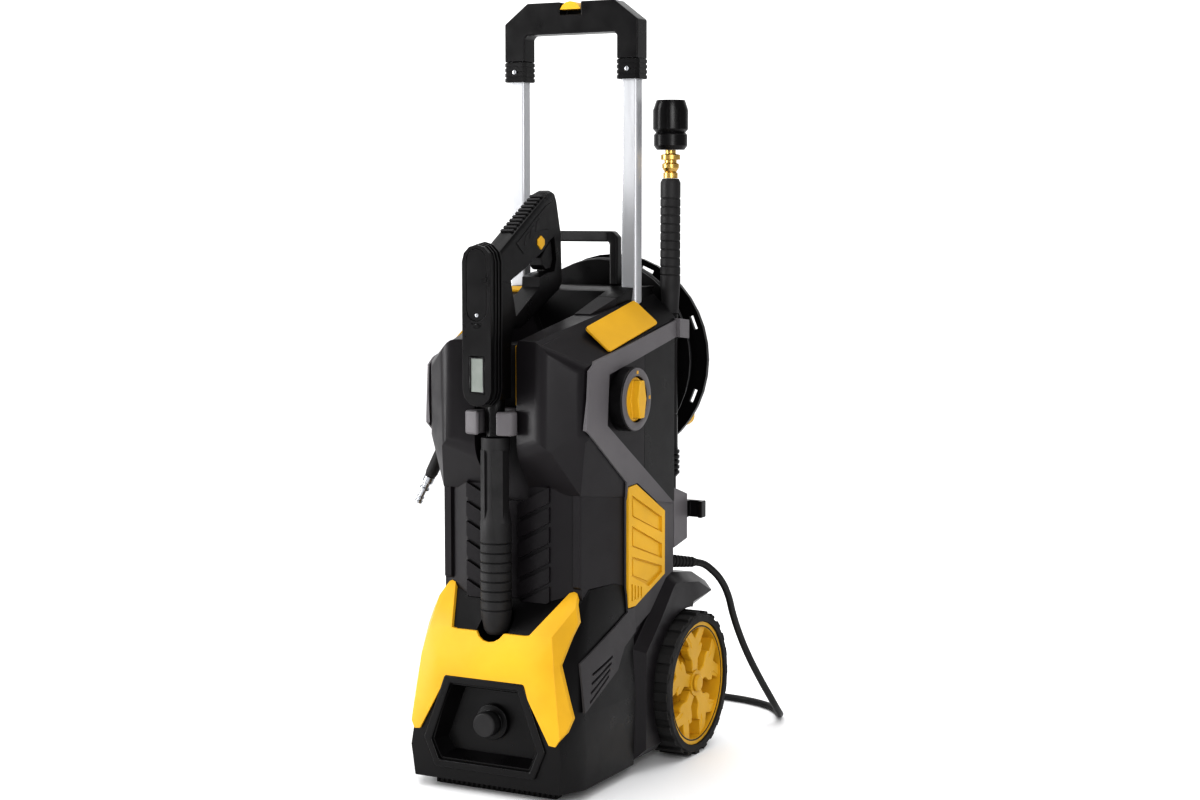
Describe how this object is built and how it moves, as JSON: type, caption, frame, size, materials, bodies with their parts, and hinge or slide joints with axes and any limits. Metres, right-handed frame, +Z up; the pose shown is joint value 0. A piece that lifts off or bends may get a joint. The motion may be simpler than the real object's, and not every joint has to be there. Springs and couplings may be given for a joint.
{
  "type": "pressure washer",
  "caption": "Upright wheeled electric pressure washer with telescopic handle, clipped spray gun, lance, rear hose reel and mains lead.",
  "frame": {"origin": "on the floor under the middle of the machine's footprint, cords left out", "axes": "+Z up, the front with the spray gun faces -Y, +X to the right of someone facing the front"},
  "size_m": [0.4637, 0.5745, 0.9306],
  "materials": {
    "charcoal_plastic": "fine moulded grain",
    "black_plastic": "fine moulded grain",
    "grey_plastic": "satin moulded",
    "yellow_plastic": "satin moulded",
    "rubber": "smooth",
    "tyre": "ribbed tread",
    "aluminium": "satin anodised",
    "steel": "brushed",
    "brass": "machined",
    "display": "grey liquid crystal behind a clear cover"
  },
  "bodies": {
    "chassis": {"front_shell": "charcoal_plastic", "rear_shell": "black_plastic", "base_tray": "black_plastic", "front_foot": "rubber", "front_trim": "yellow_plastic", "side_band_right": "grey_plastic", "side_band_left": "grey_plastic", "side_vent_right": "yellow_plastic", "side_vent_left": "yellow_plastic", "blank_plate_right": "yellow_plastic", "blank_plate_left": "yellow_plastic", "gun_clip": "grey_plastic", "channel_strip": "yellow_plastic", "carry_handle": "black_plastic", "wheel_arch_right": "charcoal_plastic", "wheel_arch_left": "charcoal_plastic", "lance_clip": "grey_plastic", "lance_holder": "charcoal_plastic", "switch_housing": "grey_plastic", "motor": "steel", "pump": "aluminium", "water_inlet": "black_plastic", "reel_bracket": "black_plastic", "cable_hook": "black_plastic", "cable_gland": "rubber", "wheel_axle": "steel", "power_lead": "rubber", "lead_coil": "rubber", "mains_plug": "rubber", "hose_tail": "rubber", "hose_plug": "steel"},
    "handle": {"handle_tube_right": "aluminium", "handle_tube_left": "aluminium", "collar_right": "black_plastic", "collar_left": "black_plastic", "handle_grip": "black_plastic"},
    "release_button": {"release_button": "yellow_plastic"},
    "wheel_right": {"tyre_right": "tyre", "rim_right": "yellow_plastic", "hub_cap_right": "yellow_plastic"},
    "wheel_left": {"tyre_left": "tyre", "rim_left": "yellow_plastic", "hub_cap_left": "yellow_plastic"},
    "reel": {"reel_drum": "black_plastic", "hose_winding": "rubber", "crank_arm": "black_plastic"},
    "crank_knob": {"crank_knob": "yellow_plastic"},
    "switch": {"switch_knob": "yellow_plastic"},
    "gun": {"display_pod": "black_plastic", "battery_cover": "black_plastic", "display_window": "display", "gun_body": "black_plastic", "gun_barrel": "black_plastic"},
    "trigger": {"trigger": "black_plastic"},
    "safety_lock": {"safety_lock": "yellow_plastic"},
    "lance": {"quick_coupling": "brass", "lance_grip": "black_plastic", "lance_tube": "black_plastic"},
    "nozzle": {"nozzle_head": "black_plastic"},
    "inlet_cap": {"inlet_cap": "black_plastic"}
  },
  "joints": [
    {"name": "handle_slide", "type": "slide", "parent": "chassis", "child": "handle", "axis": [0, 0, 1], "range_m": [-0.225, 0]},
    {"name": "release_button_press", "type": "slide", "parent": "handle", "child": "release_button", "axis": [0, 0, -1], "range_m": [0, 0.004], "stiffness_N_per_m": 600},
    {"name": "wheel_right_spin", "type": "hinge", "parent": "chassis", "child": "wheel_right", "pos_m": [0.12, 0.1, 0.09], "axis": [1, 0, 0], "continuous": true},
    {"name": "wheel_left_spin", "type": "hinge", "parent": "chassis", "child": "wheel_left", "pos_m": [-0.12, 0.1, 0.09], "axis": [1, 0, 0], "continuous": true},
    {"name": "reel_spin", "type": "hinge", "parent": "chassis", "child": "reel", "pos_m": [0, 0.125, 0.492], "axis": [0, 1, 0], "continuous": true},
    {"name": "crank_knob_spin", "type": "hinge", "parent": "reel", "child": "crank_knob", "pos_m": [0.07637, 0.178, 0.41563], "axis": [0, 1, 0], "continuous": true},
    {"name": "switch_turn", "type": "hinge", "parent": "chassis", "child": "switch", "pos_m": [0.128, -0.049, 0.458], "axis": [1, 0, 0], "range_deg": [0, 90]},
    {"name": "gun_pull", "type": "slide", "parent": "chassis", "child": "gun", "axis": [0, -1, 0], "range_m": [0, 0.15]},
    {"name": "trigger_pull", "type": "hinge", "parent": "gun", "child": "trigger", "pos_m": [0, -0.042, 0.64], "axis": [-1, 0, 0], "range_deg": [0, 8], "stiffness_Nm_per_rad": 2},
    {"name": "safety_lock_press", "type": "slide", "parent": "gun", "child": "safety_lock", "axis": [-1, 0, 0], "range_m": [0, 0.003]},
    {"name": "lance_lift", "type": "slide", "parent": "chassis", "child": "lance", "axis": [0, 0, 1], "range_m": [0, 0.3]},
    {"name": "nozzle_turn", "type": "hinge", "parent": "lance", "child": "nozzle", "pos_m": [0.1045, 0.0885, 0.78], "axis": [0, 0, 1], "continuous": true},
    {"name": "inlet_cap_pull", "type": "slide", "parent": "chassis", "child": "inlet_cap", "axis": [0, -1, 0], "range_m": [0, 0.03]}
  ]
}
